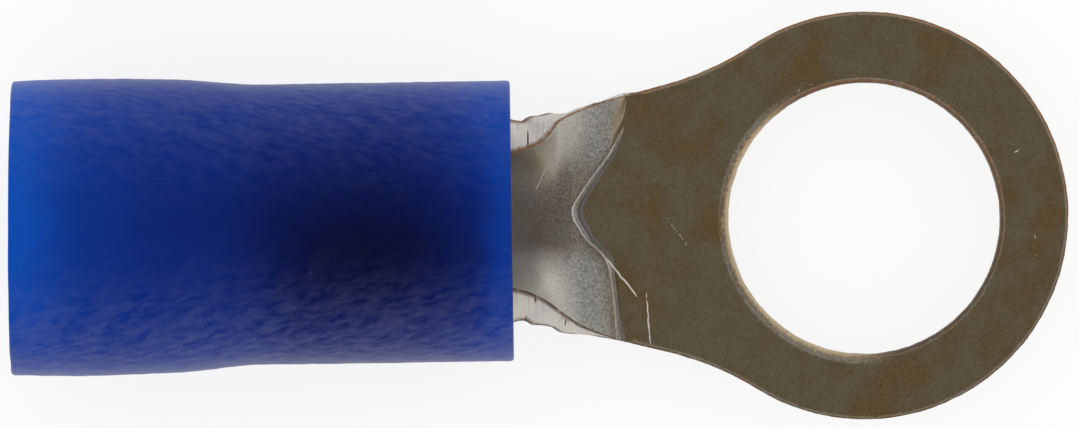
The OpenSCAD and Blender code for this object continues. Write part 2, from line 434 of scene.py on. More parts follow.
    def outline(self) -> list[tuple[float, float]]:
        """Returns the tongue's outline from the neck's -Y side round the ring to its +Y side.

        Each half is the tapered side, the concave blend and the ring's arc.
        """
        slope = math.radians(self.taper_deg)
        line_y = self.neck_half - math.tan(slope) * self.crease_x
        reach = self.ring_r + self.blend_r
        lean = math.acos((line_y * math.cos(slope) + self.blend_r) / reach) + slope
        centre = (-reach * math.sin(lean), reach * math.cos(lean))
        ring_end = math.atan2(centre[1], centre[0])
        touch_x = centre[0] + self.blend_r * math.sin(slope)
        halves = []
        for side in (-1, 1):
            start_x = self.crease_at(side) + self.lead
            count = max(round((touch_x - start_x) / self.step), 2)
            line = [lerp(start_x, touch_x, k / count) for k in range(1, count)]
            points = [(x, self.plan_half(x, side)) for x in line]
            first, last = slope - math.pi / 2, ring_end - math.pi
            count = round(abs(first - last) * self.blend_r / self.step)
            turns = [lerp(first, last, k / count) for k in range(count)]
            points += [(centre[0] + self.blend_r * math.cos(a),
                        centre[1] + self.blend_r * math.sin(a)) for a in turns]
            count = round(ring_end * self.ring_r / self.step)
            turns = [ring_end * (1 - k / count) for k in range(count + (side < 0))]
            points += [(self.ring_r * math.cos(a), self.ring_r * math.sin(a)) for a in turns]
            halves.append([(x, self.axis_y + side * y) for x, y in points])
        return halves[0] + halves[1][::-1]

    def flat_sheet(self) -> Piece:
        """Makes the upper skin of the flat tongue as rings of faces round the hole."""
        shares = [2 * j / self.columns - 1 for j in range(self.columns, -1, -1)]
        joint = []
        for v in shares:
            x = self.crease_at(v) + self.lead
            joint.append((x, self.axis_y + v * self.plan_half(x, math.copysign(1, v))))
        loop = self.outline() + joint
        count = len(loop)
        rings = [0.0, 0.08, 0.14, 0.24, 0.38, 0.52, 0.66, 0.8, 0.9, 0.945, 1.0]

        def place(i: int, j: int) -> Point:
            """Returns the point of the loop's place i on ring j."""
            outer = Vector(loop[i % count])
            inner = outer.normalized() * self.hole_r
            point = inner.lerp(outer, rings[j])
            return (point.x, point.y, self.sheet)

        return grid_piece("flat_sheet", count, len(rings) - 1, place)

    def behind_crease(self, x: float, y: float) -> float:
        """Returns how far a point lies behind the crease, in X."""
        return self.crease_at(self.across(x, y)) - x

    def across(self, x: float, y: float) -> float:
        """Returns the share of the half width at which a point lies."""
        side = 1.0 if y >= self.axis_y else -1.0
        return min(max((y - self.axis_y) / self.plan_half(x, side), -1.0), 1.0)

    def step_width(self, v: float) -> float:
        """Returns how wide the step's slope is, as a share of its full width, at the share v."""
        return through(((-1.0, 1.0), (-0.8, 0.6), (-0.48, 0.3), (-0.4, 0.8), (0.0, 1.25), (0.5, 0.9),
                        (0.7, 0.4), (1.0, 0.4)), v)

    def step_drop(self, behind: float, v: float) -> float:
        """Returns how far the upper skin lies below the full sheet's, near the crease.

        The tongue is coined thinner. A sharp bright slope leads down to it, with a thin
        groove at its foot and a small lip at its top. Near the +Y edge it fades to a soft bend.
        """
        sharp = ((-self.lead, -self.coin), (-0.12, -self.coin - 0.004), (-0.085, -self.coin - 0.02),
                 (-0.065, -self.coin - 0.012), (-0.01, 0.006), (0.02, 0.016), (0.06, 0.008), (0.14, 0.0))
        soft = ((-self.lead, -self.coin), (-0.2, -self.coin), (0.14, 0.0))
        return lerp(through(sharp, behind), through(soft, behind), smooth((v - 0.62) / 0.2))

    def thicken(self, piece: Piece) -> None:
        """Presses the step along the crease and gives the sheet its thickness."""
        count = len(piece.data.vertices)
        for vertex in piece.data.vertices:
            x, y, _ = vertex.co / MM
            if x > self.upright_x:
                vertex.co.z += self.step_drop(self.behind_crease(x, y), self.across(x, y)) * MM
        for _ in SheetFace:
            piece.data.materials.append(None)
        apply_modifier(piece, "SOLIDIFY", thickness=self.sheet * MM, offset=-1.0, use_even_offset=True,
                       material_offset=SheetFace.UNDER.value, material_offset_rim=SheetFace.CUT.value)
        for upper, under in zip(piece.data.vertices[:count], piece.data.vertices[count:]):
            x, y, _ = upper.co / MM
            if math.hypot(x, y) < self.hole_r + 0.02:
                upper.co.xy *= 1 + self.hole_lean * self.towards_lean(x, y) / self.hole_r
            if x <= self.upright_x:
                continue
            under.co.z += self.coin * (1 - smooth((self.behind_crease(x, y) + 0.2) / 0.5)) * MM
            if x < self.crease_x + 0.2:
                self.trim(under, abs(self.across(x, y)))

    def towards_lean(self, x: float, y: float) -> float:
        """Returns 1 on the side of the hole where its wall leans out, and 0 opposite."""
        turn = math.radians(self.lean_turn)
        return smooth((x * math.cos(turn) + y * math.sin(turn)) / math.hypot(x, y))

    def trim(self, under: bpy.types.MeshVertex, share: float) -> None:
        """Holds a point of the neck's under skin inside the outline of the cut faces.

        Args:
            under: The point of the under skin.
            share: The share of the half width at which the upper skin's point lies.
        """
        x, y = under.co.x / MM, under.co.y / MM - self.axis_y
        if x >= self.crease_x:
            reach = self.plan_half(x, 1.0)
        else:
            reach = through(self.far_reach if y > 0 else self.near_reach, x)
        limit = reach * lerp(1.4, 1.0, smooth((share - 0.3) / 0.65))
        y = min(max(y, -limit), limit)
        z = under.co.z / MM - self.axis_z
        barrel_r = self.bore_r + self.sheet
        most = barrel_r * (1 + smooth((x - self.upright_x - 0.25) / 1.5))
        fit = min(most / math.hypot(y, z), 1.0)
        under.co.y = (self.axis_y + y * fit) * MM
        under.co.z = (self.axis_z + z * fit) * MM

    def shape_edges(self, piece: Piece) -> None:
        """Divides the cut faces and rounds their edges."""
        def sides(edge: bmesh.types.BMEdge) -> set[int]:
            """Returns the sheet sides that meet at an edge."""
            return {face.material_index for face in edge.link_faces}

        def at_hole(edge: bmesh.types.BMEdge) -> bool:
            """Tells whether an edge runs round the stud hole."""
            reach = (self.hole_r + self.hole_lean + 0.02) * MM
            return all(vertex.co.xy.length < reach for vertex in edge.verts)

        cut, upper, under = SheetFace.CUT.value, SheetFace.UPPER.value, SheetFace.UNDER.value
        select_edges(piece, lambda edge: sides(edge) == {cut})
        bpy.ops.mesh.subdivide(number_cuts=5)
        jobs = ((True, upper, self.hole_roll, 5), (False, upper, self.edge_round, 3),
                (True, under, self.edge_round, 2), (False, under, self.edge_round, 2))
        for hole, skin, width, segments in jobs:
            select_edges(piece, lambda edge: sides(edge) == {cut, skin} and at_hole(edge) == hole)
            bpy.ops.mesh.bevel(offset=width * MM, segments=segments, profile=0.5, clamp_overlap=True,
                               material=SheetFace.EDGE.value, affect="EDGES")
        deselect()

    def mark(self, piece: Piece) -> None:
        """Writes the masks that the finish reads: cut faces, rounded edges, trough and crease."""
        mesh = piece.data
        count = len(mesh.vertices)
        totals, cuts, edges = [0] * count, [0] * count, [0] * count
        for face in mesh.polygons:
            for index in face.vertices:
                totals[index] += 1
                cuts[index] += face.material_index == SheetFace.CUT.value
                edges[index] += face.material_index == SheetFace.EDGE.value
        trough, scaly, bright, crest, step = [], [], [], [], []
        for vertex in mesh.vertices:
            x, y, _ = vertex.co / MM
            behind = self.behind_crease(x, y) if x > self.upright_x - 0.3 else 2.0
            v, aside = self.across(x, y), y - self.axis_y
            faded = smooth((v - 0.5) / 0.3)
            start = smooth((behind + lerp(0.02, 0.0, faded)) / lerp(0.06, 0.4, faded))
            trough.append(start)
            scaly.append(start * (1 - smooth((behind - 0.35) / 0.95)))
            # The bright mask marks a painted highlight in the trough: strong on the -Y wall and on the +Y
            # wall towards the crease, faint over the rest.
            low = smooth((-0.2 - aside) / 0.7) * smooth((behind + 0.1) / 0.4)
            high = smooth(aside - 0.5) * smooth((x + 6.6) / 0.9) * smooth((behind + 0.1) / 0.3)
            bright.append(start * max(low, high, 0.22))
            step.append(min(max(behind / self.step_width(v), -0.5), 0.5))
            crest.append(1 - smooth((v - 0.55) / 0.2))
        masks = {"cut": [c / t for c, t in zip(cuts, totals)], "edge": [e / t for e, t in zip(edges, totals)],
                 "trough": trough, "scaly": scaly, "bright": bright, "crest": crest, "step": step}
        for name, values in masks.items():
            mesh.attributes.new(name, "FLOAT", "POINT").data.foreach_set("value", values)
        mesh.polygons.foreach_set("material_index", [0] * len(mesh.polygons))

    def roughen(self, piece: Piece) -> None:
        """Moves the cut faces a little in and out, as the die tore them."""
        mesh = piece.data
        cut = mesh.attributes["cut"].data
        edge = mesh.attributes["edge"].data
        moves = []
        for vertex in mesh.vertices:
            share = min(cut[vertex.index].value + 0.6 * edge[vertex.index].value, 1.0)
            if share <= 0:
                continue
            x, y, z = vertex.co / MM
            up = abs(vertex.normal.z)
            at = Vector((5 * x, lerp(5, 1.2, up) * y, 1.2 * z))
            depth = 0.012 * noise.noise(at) + 0.008 * noise.noise(at * 2.7) - 0.006
            moves.append((vertex, vertex.normal * depth * share * lerp(1.0, 1.8, up) * MM))
        for vertex, move in moves:
            vertex.co += move

    def build(self) -> Piece:
        """Makes the whole terminal.

        Returns:
            The piece, with its masks written and its doubles merged.
        """
        pieces = [self.rolled_sheet(), self.flat_sheet()]
        deselect()
        for part in pieces:
            part.select_set(True)
        bpy.context.view_layer.objects.active = pieces[0]
        bpy.ops.object.join()
        piece = bpy.context.object
        piece.name = piece.data.name = "stamped_terminal"
        weld(piece)
        self.face_up(piece)
        self.thicken(piece)
        self.shape_edges(piece)
        self.mark(piece)
        self.roughen(piece)
        activate(piece)
        bpy.ops.object.shade_smooth_by_angle(angle=math.radians(SHARP))
        return piece

    @staticmethod
    def face_up(piece: Piece) -> None:
        """Turns the sheet's faces so that the flat tongue looks up."""
        flat = max(piece.data.polygons, key=lambda face: face.center.x)
        if flat.normal.z < 0:
            activate(piece)
            bpy.ops.object.mode_set(mode="EDIT")
            bpy.ops.mesh.select_all(action="SELECT")
            bpy.ops.mesh.flip_normals()
            bpy.ops.object.mode_set(mode="OBJECT")


# ---------------------------------------------------------------------------------------
# The vinyl sleeve
# ---------------------------------------------------------------------------------------

@dataclass
class VinylSleeve:
    """The moulded sleeve: a seat that grips the barrel and a wider, slightly bulged wire entry."""

    axis_y: float
    axis_z: float
    front_x: float
    rear_x: float
    seat_r: float
    entry_bore: float
    barrel_rear_x: float
    wall: float = 0.73
    entry_wall: float = 0.67
    bulge: float = 0.03
    shoulder: float = 1.8
    shoulder_rear: float = 0.8
    lip: float = 0.06
    around: int = 208
    along: int = 220
    waviness: float = 0.011
    skew: float = 0.095

    @property
    def shoulder_x(self) -> float:
        """Where the shoulder begins, behind the barrel."""
        return self.barrel_rear_x - self.shoulder_rear * self.shoulder

    def outer_r(self, x: float) -> float:
        """Returns the outside radius at x."""
        rise = self.bulge * math.sin(math.pi * clamp((x - self.rear_x) / (self.shoulder_x - self.rear_x)))
        entry = self.entry_bore + self.entry_wall + rise
        return lerp(entry, self.seat_r + self.wall, smooth((x - self.shoulder_x) / self.shoulder))

    def profile(self) -> list[tuple[float, float]]:
        """Returns the wall's closed section as (x, radius), along the outside and back inside."""
        rear, front, lip = self.rear_x, self.front_x, self.lip
        outside = [lerp(rear + lip, front - lip, k / self.along) for k in range(self.along + 1)]
        turn = [math.pi / 2 * k / 4 for k in range(4)]
        points = [(rear, lerp(self.entry_bore, self.outer_r(rear) - lip, k / 8)) for k in range(8)]
        points += [(rear + lip * (1 - math.cos(a)), self.outer_r(rear) - lip * (1 - math.sin(a)))
                   for a in turn]
        points += [(x, self.outer_r(x)) for x in outside]
        points += [(front - lip * (1 - math.cos(a)), self.outer_r(front) - lip * (1 - math.sin(a)))
                   for a in turn[::-1]]
        points += [(front, lerp(self.outer_r(front) - lip, self.seat_r, k / 8)) for k in range(1, 9)]
        seat_end = self.barrel_rear_x - 0.15
        points += [(lerp(front, seat_end, k / 30), self.seat_r) for k in range(1, 31)]
        flare = self.shoulder / 3
        points += [(seat_end - flare * k / 4, lerp(self.seat_r, self.entry_bore, k / 4)) for k in range(1, 5)]
        points += [(lerp(seat_end - flare, rear, k / 24), self.entry_bore) for k in range(1, 24)]
        return points

    def build(self) -> Piece:
        """Makes the sleeve as one closed wall.

        Returns:
            The piece, whose rear end is cut a little askew.
        """
        section = self.profile()
        count = len(section)

        def place(i: int, j: int) -> Point:
            """Returns the point of the section's place i at the turn j."""
            x, radius = section[i % count]
            angle = 2 * math.pi * (j % self.around) / self.around
            across, up = math.sin(angle), math.cos(angle)
            if radius > self.seat_r + 0.3:
                at = Vector((0.9 * x, 2.4 * across, 2.4 * up))
                fine = Vector((4.2 * x, 7.0 * across, 7.0 * up))
                radius += self.waviness * (noise.noise(at) + 0.7 * noise.noise(fine) - 0.4)
            square = smooth((x - self.rear_x) / 2)
            x += self.skew * (1 - square) * (1 + radius * across / (self.entry_bore + self.entry_wall)) / 2
            ragged = 1 - smooth((x - self.rear_x) / 0.3)
            x += 0.012 * ragged * noise.noise(Vector((4 * across, 4 * up, radius)))
            return (x, self.axis_y + radius * across, self.axis_z + radius * up)

        piece = grid_piece("vinyl_sleeve", count, self.around, place)
        weld(piece)
        bpy.ops.object.shade_smooth_by_angle(angle=math.radians(SHARP))
        return piece


# ---------------------------------------------------------------------------------------
# Finishes
# ---------------------------------------------------------------------------------------


@dataclass
class Graph:
    """A node tree being built, with short calls for the nodes that the finishes use."""

    tree: bpy.types.NodeTree

    def node(self, kind: str, **settings: object) -> bpy.types.Node:
        """Adds a node of one kind and sets its properties."""
        made = self.tree.nodes.new(kind)
        for key, value in settings.items():
            setattr(made, key, value)
        return made

    def feed(self, socket: Socket, value: Value) -> None:
        """Links a socket, or sets the value of one, to an input."""
        if isinstance(value, Socket):
            self.tree.links.new(value, socket)
        else:
            socket.default_value = value

    def math(self, operation: str, *values: Value, clamp: bool = False) -> Socket:
        """Returns the result of a Math node."""
        made = self.node("ShaderNodeMath", operation=operation, use_clamp=clamp)
        for socket, value in zip(made.inputs, values):
            self.feed(socket, value)
        return made.outputs[0]

    def vector(self, operation: str, *values: Value, output: str = "Vector") -> Socket:
        """Returns an output of a Vector Math node."""
        made = self.node("ShaderNodeVectorMath", operation=operation)
        for socket, value in zip(made.inputs, values):
            self.feed(socket, value)
        return made.outputs[output]

    def combine(self, x: Value, y: Value, z: Value) -> Socket:
        """Returns a vector made of three values."""
        made = self.node("ShaderNodeCombineXYZ")
        for socket, value in zip(made.inputs, (x, y, z)):
            self.feed(socket, value)
        return made.outputs[0]

    def split(self, vector: Value) -> tuple[Socket, ...]:
        """Returns the three parts of a vector."""
        made = self.node("ShaderNodeSeparateXYZ")
        self.feed(made.inputs[0], vector)
        return tuple(made.outputs)

    def spread(self, value: Value, low: Value, high: Value, start: Value = 0.0, end: Value = 1.0,
               soft: bool = False) -> Socket:
        """Returns value mapped from low..high to start..end and held inside."""
        made = self.node("ShaderNodeMapRange", interpolation_type="SMOOTHSTEP" if soft else "LINEAR")
        for socket, item in zip(made.inputs, (value, low, high, start, end)):
            self.feed(socket, item)
        return made.outputs[0]

    def mix(self, share: Value, first: Value, second: Value, blend: str = "MIX") -> Socket:
        """Returns the colour a share of the way from first to second."""
        made = self.node("ShaderNodeMix", data_type="RGBA", blend_type=blend)
        self.feed(made.inputs[0], share)
        self.feed(made.inputs[6], first)
        self.feed(made.inputs[7], second)
        return made.outputs[2]

    def layers(self, colour: Value, *coats: tuple[Value, Value]) -> Socket:
        """Returns colour under coats laid on in turn, each given as its share and its colour."""
        for share, coat in coats:
            colour = self.mix(share, colour, coat)
        return colour

    def peak(self, value: Value, centre: float, half: float) -> Socket:
        """Returns a smooth peak that is 1 where value is centre and 0 from half away on."""
        return self.spread(self.math("ABSOLUTE", self.minus(value, centre)), half, 0.0, soft=True)

    def curve(self, value: Value, points: Sequence[tuple[float, float]]) -> Socket:
        """Returns value read through a curve given by a few points between 0 and 1."""
        made = self.node("ShaderNodeFloatCurve")
        line = made.mapping.curves[0]
        line.points[0].location, line.points[1].location = points[0], points[-1]
        for point in points[1:-1]:
            line.points.new(*point)
        made.mapping.update()
        self.feed(made.inputs["Value"], value)
        return made.outputs[0]

    def minus(self, value: Value, less: Value) -> Socket:
        """Returns value less another value."""
        return self.math("SUBTRACT", value, less)

    def most(self, *values: Value) -> Socket:
        """Returns the largest of several values."""
        result = values[0]
        for value in values[1:]:
            result = self.math("MAXIMUM", result, value)
        return result

    def times(self, *values: Value) -> Socket:
        """Returns the product of several values."""
        result = values[0]
        for value in values[1:]:
            result = self.math("MULTIPLY", result, value)
        return result

    def total(self, *values: Value) -> Socket:
        """Returns the sum of several values."""
        result = values[0]
        for value in values[1:]:
            result = self.math("ADD", result, value)
        return result

    def noise(self, vector: Value, scale: Value, detail: float = 2.0, rough: float = 0.5) -> Socket:
        """Returns the value of a noise texture."""
        made = self.node("ShaderNodeTexNoise")
        self.feed(made.inputs["Vector"], vector)
        self.feed(made.inputs["Scale"], scale)
        made.inputs["Detail"].default_value = detail
        made.inputs["Roughness"].default_value = rough
        return made.outputs[0]

    def waver(self, value: Value, amount: float, vector: Value, scale: Value,
              detail: float = 2.0) -> Socket:
        """Returns value moved up and down by a noise of the given amount."""
        swing = self.minus(self.noise(vector, scale, detail), 0.5)
        return self.math("MULTIPLY_ADD", swing, amount, value)

    def bump(self, height: Value, distance: float) -> Socket:
        """Returns the normal over a height whose unit is a distance in metres."""
        made = self.node("ShaderNodeBump")
        made.inputs["Strength"].default_value = 1.0
        made.inputs["Distance"].default_value = distance
        self.feed(made.inputs["Height"], height)
        return made.outputs[0]

    def place(self) -> Socket:
        """Returns the surface point in the piece's own coordinates, in millimetres."""
        return self.vector("MULTIPLY", self.node("ShaderNodeTexCoord").outputs["Object"], (1 / MM,) * 3)

    def mask(self, name: str) -> Socket:
        """Returns a mask that the mesh carries as an attribute."""
        return self.node("ShaderNodeAttribute", attribute_name=name).outputs["Fac"]

    def use(self, group: bpy.types.NodeTree, **values: Value) -> bpy.types.Node:
        """Places a node group and feeds its inputs, whose names have spaces for underscores."""
        made = self.node("ShaderNodeGroup", node_tree=group)
        for key, value in values.items():
            self.feed(made.inputs[key.replace("_", " ")], value)
        return made


@dataclass
class Effects:
    """The surface effects that the finishes draw on, each a node group built once."""

    def __post_init__(self) -> None:
        """Builds the groups."""
        self.specks = self.build_specks()
        self.scratch = self.build_scratch()
        self.grain = self.build_grain()

    @staticmethod
    def start(name: str, vectors: Sequence[str], values: Sequence[str],
              outputs: Sequence[str]) -> tuple[Graph, dict, dict]:
        """Starts a group.

        Args:
            name: The group's name.
            vectors: Names of the vectors that it takes in.
            values: Names of the values that it takes in.
            outputs: Names of the values that it puts out.

        Returns:
            The group's graph, its inputs by name and the sockets of its outputs by name.
        """
        tree = bpy.data.node_groups.new(name, "ShaderNodeTree")
        for keys, side, kind in ((vectors, "INPUT", "Vector"), (values, "INPUT", "Float"),
                                 (outputs, "OUTPUT", "Float")):
            for key in keys:
                tree.interface.new_socket(key, in_out=side, socket_type="NodeSocket" + kind)
        graph = Graph(tree)
        source, sink = graph.node("NodeGroupInput").outputs, graph.node("NodeGroupOutput").inputs
        given = {key: source[key] for key in (*vectors, *values)}
        return graph, given, {key: sink[key] for key in outputs}

    def build_specks(self) -> bpy.types.NodeTree:
        """Returns a group that scatters small round specks over a surface."""
        graph, given, out = self.start("specks", ["Place"], ["Spacing", "Size", "Share"], ["Mask"])
        cells = graph.node("ShaderNodeTexVoronoi", feature="F1")
        scaled = graph.vector("DIVIDE", given["Place"],
                              graph.combine(given["Spacing"], given["Spacing"], given["Spacing"]))
        wobble = graph.noise(scaled, 5.0)
        graph.feed(cells.inputs["Vector"], scaled)
        cells.inputs["Scale"].default_value = 1.0
        reach = graph.math("DIVIDE", given["Size"], given["Spacing"])
        chance, second, _ = graph.split(cells.outputs["Color"])
        reach = graph.times(reach, graph.math("MULTIPLY_ADD", second, 0.9, 0.3))
        near = graph.spread(graph.times(cells.outputs["Distance"],
                                       graph.total(wobble, 0.5)), reach,
                            graph.times(reach, 0.45), soft=True)
        kept = graph.math("LESS_THAN", chance, given["Share"])
        graph.feed(out["Mask"], graph.times(near, kept))
        return graph.tree

    def build_scratch(self) -> bpy.types.NodeTree:
        """Returns a group that draws one scratch, from a start to an end, thinning at both."""
        graph, given, out = self.start("scratch", ["Place", "Start", "End"], ["Width", "Waver"], ["Mask"])
        shake = graph.node("ShaderNodeTexNoise")
        graph.feed(shake.inputs["Vector"], given["Place"])
        shake.inputs["Scale"].default_value = 5.0
        offset = graph.vector("SCALE", graph.vector("SUBTRACT", shake.outputs["Color"], (0.5, 0.5, 0.5)))
        graph.feed(offset.node.inputs["Scale"], given["Waver"])
        point = graph.vector("SUBTRACT", graph.vector("ADD", given["Place"], offset), given["Start"])
        line = graph.vector("SUBTRACT", given["End"], given["Start"])
        along = graph.math("DIVIDE", graph.vector("DOT_PRODUCT", point, line, output="Value"),
                           graph.vector("DOT_PRODUCT", line, line, output="Value"), clamp=True)
        foot = graph.vector("SCALE", line)
        graph.feed(foot.node.inputs["Scale"], along)
        away = graph.vector("LENGTH", graph.vector("SUBTRACT", point, foot), output="Value")
        fullness = graph.times(along, graph.minus(1.0, along), 4.0)
        width = graph.times(given["Width"], graph.math("POWER", fullness, 0.35))
        shape = graph.spread(away, width, graph.times(width, 0.3), soft=True)
        graph.feed(out["Mask"], shape)
        return graph.tree

    def build_grain(self) -> bpy.types.NodeTree:
        """Returns a group with a fine even grain and a broad mottle."""
        graph, given, out = self.start("grain", ["Place"], ["Size", "Patch"], ["Grain", "Mottle"])
        fine = graph.noise(given["Place"], graph.math("DIVIDE", 1.0, given["Size"]), 3.0, 0.6)
        broad = graph.noise(given["Place"], graph.math("DIVIDE", 1.0, given["Patch"]), 3.0, 0.55)
        graph.feed(out["Grain"], fine)
        graph.feed(out["Mottle"], broad)
        return graph.tree


def new_material(name: str) -> tuple[bpy.types.Material, Graph, bpy.types.Node]:
    """Starts a material.

    Args:
        name: The material's name.

    Returns:
        The material, its graph and its Principled BSDF.
    """
    material = bpy.data.materials.new(name)
    material.use_nodes = True
    return material, Graph(material.node_tree), material.node_tree.nodes["Principled BSDF"]


@dataclass(frozen=True)
class Scratch:
    """One mark in the tin plate, in millimetres."""

    start: Point
    end: Point
    width: float
    waver: float = 0.05


@dataclass(frozen=True)
class TinPlate:
    """Dull tin over copper: even on the flat, scaly where it was bent, torn where it was cut."""

    hole_r: float
    lean_turn: float
    skin: Colour = (0.585, 0.55, 0.485, 1)
    worn: Colour = (0.53, 0.49, 0.41, 1)
    tarnish: Colour = (0.53, 0.42, 0.24, 1)
    # Lighter copies of the tin for the painted highlight on the trough's walls: bright, and scale where the
    # bent tin is scaly.
    bright: Colour = (0.66, 0.64, 0.59, 1)
    scale: Colour = (0.64, 0.645, 0.63, 1)
    # Pale colour of the torn cut faces, also used for the scratches and for the painted highlight along the
    # step's lip.
    torn: Colour = (0.74, 0.70, 0.63, 1)
    foot_tint_and_side_sheen: Colour = (0.12, 0.128, 0.155, 1)
    ribbon: Colour = (0.36, 0.365, 0.365, 1)
    # Painted highlight where the leaning wall of the stud hole catches the light.
    rim_highlight: Colour = (0.62, 0.48, 0.29, 1)
    brown: Colour = (0.115, 0.055, 0.018, 1)
    rust: Colour = (0.24, 0.098, 0.02, 1)
    # Dark colour of pits, cracks and the band round the hole, also used as painted shade in the groove at the
    # step's foot.
    dirt_and_shade: Colour = (0.09, 0.075, 0.06, 1)
    scratches: tuple[Scratch, ...] = (
        Scratch((-5.08, -0.7, 0), (-4.46, -1.47, 0), 0.03),
        Scratch((-4.29, -1.38, 0), (-4.23, -2.42, 0), 0.022),
        Scratch((-6.16, 1.2, 0), (-6.42, 0.65, 0), 0.02),
        Scratch((-1.3, 2.5, 0), (-1.0, 2.68, 0), 0.012, 0.3),
        Scratch((2.95, 1.25, 0), (3.05, 1.3, 0), 0.014),
        Scratch((3.3, -0.3, 0), (3.34, -0.45, 0), 0.009),
        Scratch((-3.9, 0.1, 0), (-3.45, -0.5, 0), 0.007),
    )

    def marks(self, graph: Graph, effects: Effects, place: Socket) -> Socket:
        """Returns the mask of the scratches on the upper skin."""
        flat = graph.vector("MULTIPLY", place, (1.0, 1.0, 0.0))
        lines = [graph.use(effects.scratch, Place=flat, Start=item.start, End=item.end, Width=item.width,
                           Waver=item.waver).outputs[0] for item in self.scratches]
        return graph.times(graph.most(*lines), graph.spread(graph.split(place)[2], 0.3, 0.4))

    def rim(self, graph: Graph, place: Socket) -> tuple[Socket, ...]:
        """Returns masks of the hole's rim: its lit part, the dark grain round that, and the rest."""
        flat = graph.vector("MULTIPLY", place, (1.0, 1.0, 0.0))
        turn = math.radians(self.lean_turn)
        beyond = graph.minus(graph.vector("LENGTH", flat, output="Value"), self.hole_r)
        towards = graph.vector("DOT_PRODUCT", graph.vector("NORMALIZE", flat),
                               (math.cos(turn), math.sin(turn), 0.0), output="Value")
        jag = graph.minus(graph.noise(place, 16.0, 3.0, 0.65), 0.5)
        ragged = graph.math("MULTIPLY_ADD", jag, 0.16, beyond)
        near = graph.spread(towards, 0.1, 0.6, soft=True)
        # lit is a painted highlight on the hole's wall, on the side where the wall leans.
        lit = graph.times(graph.spread(ragged, 0.15, 0.015), near)
        grain = graph.times(graph.peak(ragged, 0.15, 0.09), near, graph.spread(jag, -0.1, 0.04))
        return lit, grain, graph.spread(ragged, 0.1, 0.03)

    def material(self, effects: Effects) -> bpy.types.Material:
        """Builds the material.

        Args:
            effects: The groups for specks, scratches and grain.

        Returns:
            The finished material.
        """
        material, graph, shader = new_material("tin_plate")
        place = graph.place()
        y = graph.split(place)[1]
        cut, edge, trough = graph.mask("cut"), graph.mask("edge"), graph.mask("trough")
        scaly, bright = graph.mask("scaly"), graph.mask("bright")
        grain = graph.use(effects.grain, Place=place, Size=0.045, Patch=0.55).outputs
        scale = graph.noise(place, 17.0, 4.0, 0.68)
        crackle = graph.peak(graph.noise(place, 11.0, 3.0, 0.6), 0.5, 0.045)
        torn = graph.noise(graph.vector("MULTIPLY", place, (15.0, 1.1, 1.1)), 1.0, 2.0, 0.5)
        specks = graph.use(effects.specks, Place=place, Spacing=0.3, Size=0.022, Share=0.3).outputs[0]
        elsewhere = graph.vector("ADD", place, (7.3, 2.1, 4.7))
        pits = graph.use(effects.specks, Place=elsewhere, Spacing=0.5, Size=0.035, Share=0.2).outputs[0]
        marks = self.marks(graph, effects, place)
        lit_rim, dark_rim, rim = self.rim(graph, place)
        step = graph.waver(graph.mask("step"), 0.05, place, 13.0)
        crest = graph.mask("crest")
        # lip is a painted highlight: a bright line along the small lip at the top of the step.
        lip = graph.times(graph.peak(step, 0.015, 0.024), crest)
        ribbon = graph.times(graph.peak(step, -0.02, 0.055), crest, graph.spread(scale, 0.35, 0.55))
        # groove is painted shade: a dark line in the groove at the foot of the step.
        groove = graph.times(graph.peak(step, -0.08, 0.02), crest)
        foot = graph.times(graph.peak(step, -0.125, 0.04), crest)

        colour = graph.mix(graph.spread(grain["Mottle"], 0.35, 0.65), self.skin, self.worn)
        stain = graph.spread(graph.noise(place, 0.9, 3.0, 0.6), 0.5, 0.68)
        # The last coat is the painted highlight on the trough's walls, in the scaly tin's grey where it was
        # bent.
        colour = graph.layers(colour, (graph.times(stain, 0.75), self.tarnish),
                              (graph.times(pits, 0.55), self.dirt_and_shade),
                              (bright, graph.mix(scaly, self.bright, self.scale)))
        flaked = graph.most(graph.times(graph.spread(scale, 0.52, 0.36), scaly, 0.55),
                            graph.times(crackle, graph.spread(scaly, 0.1, 0.8), 0.7))
        colour = graph.mix(flaked, colour, self.dirt_and_shade)
        shade = graph.spread(grain["Grain"], 0.3, 0.7, 0.82, 1.18)
        colour = graph.mix(1.0, colour, graph.combine(shade, shade, shade), "MULTIPLY")
        # lit joins the real scratches and the lip's painted highlight, both in the pale torn-tin colour.
        lit = graph.most(marks, lip)
        cracks = graph.spread(torn, 0.35, 0.3)
        rusty = graph.times(graph.spread(edge, 0.0, 0.4),
                            graph.spread(graph.noise(place, 5.0, 3.0), 0.25, 0.45))
        dark = graph.most(graph.times(dark_rim, 0.8), graph.times(rim, 0.6))
        colour = graph.layers(
            colour, (graph.times(specks, 0.55), self.torn), (foot, self.foot_tint_and_side_sheen), (ribbon, self.ribbon),
            (groove, self.dirt_and_shade), (lit, self.torn), (cut, graph.mix(cracks, self.torn, self.dirt_and_shade)),
            (graph.times(rusty, 0.95), graph.mix(graph.spread(y, -1.0, 1.5), self.brown, self.rust)),
            (dark, self.dirt_and_shade), (lit_rim, self.rim_highlight))
        graph.feed(shader.inputs["Base Color"], colour)

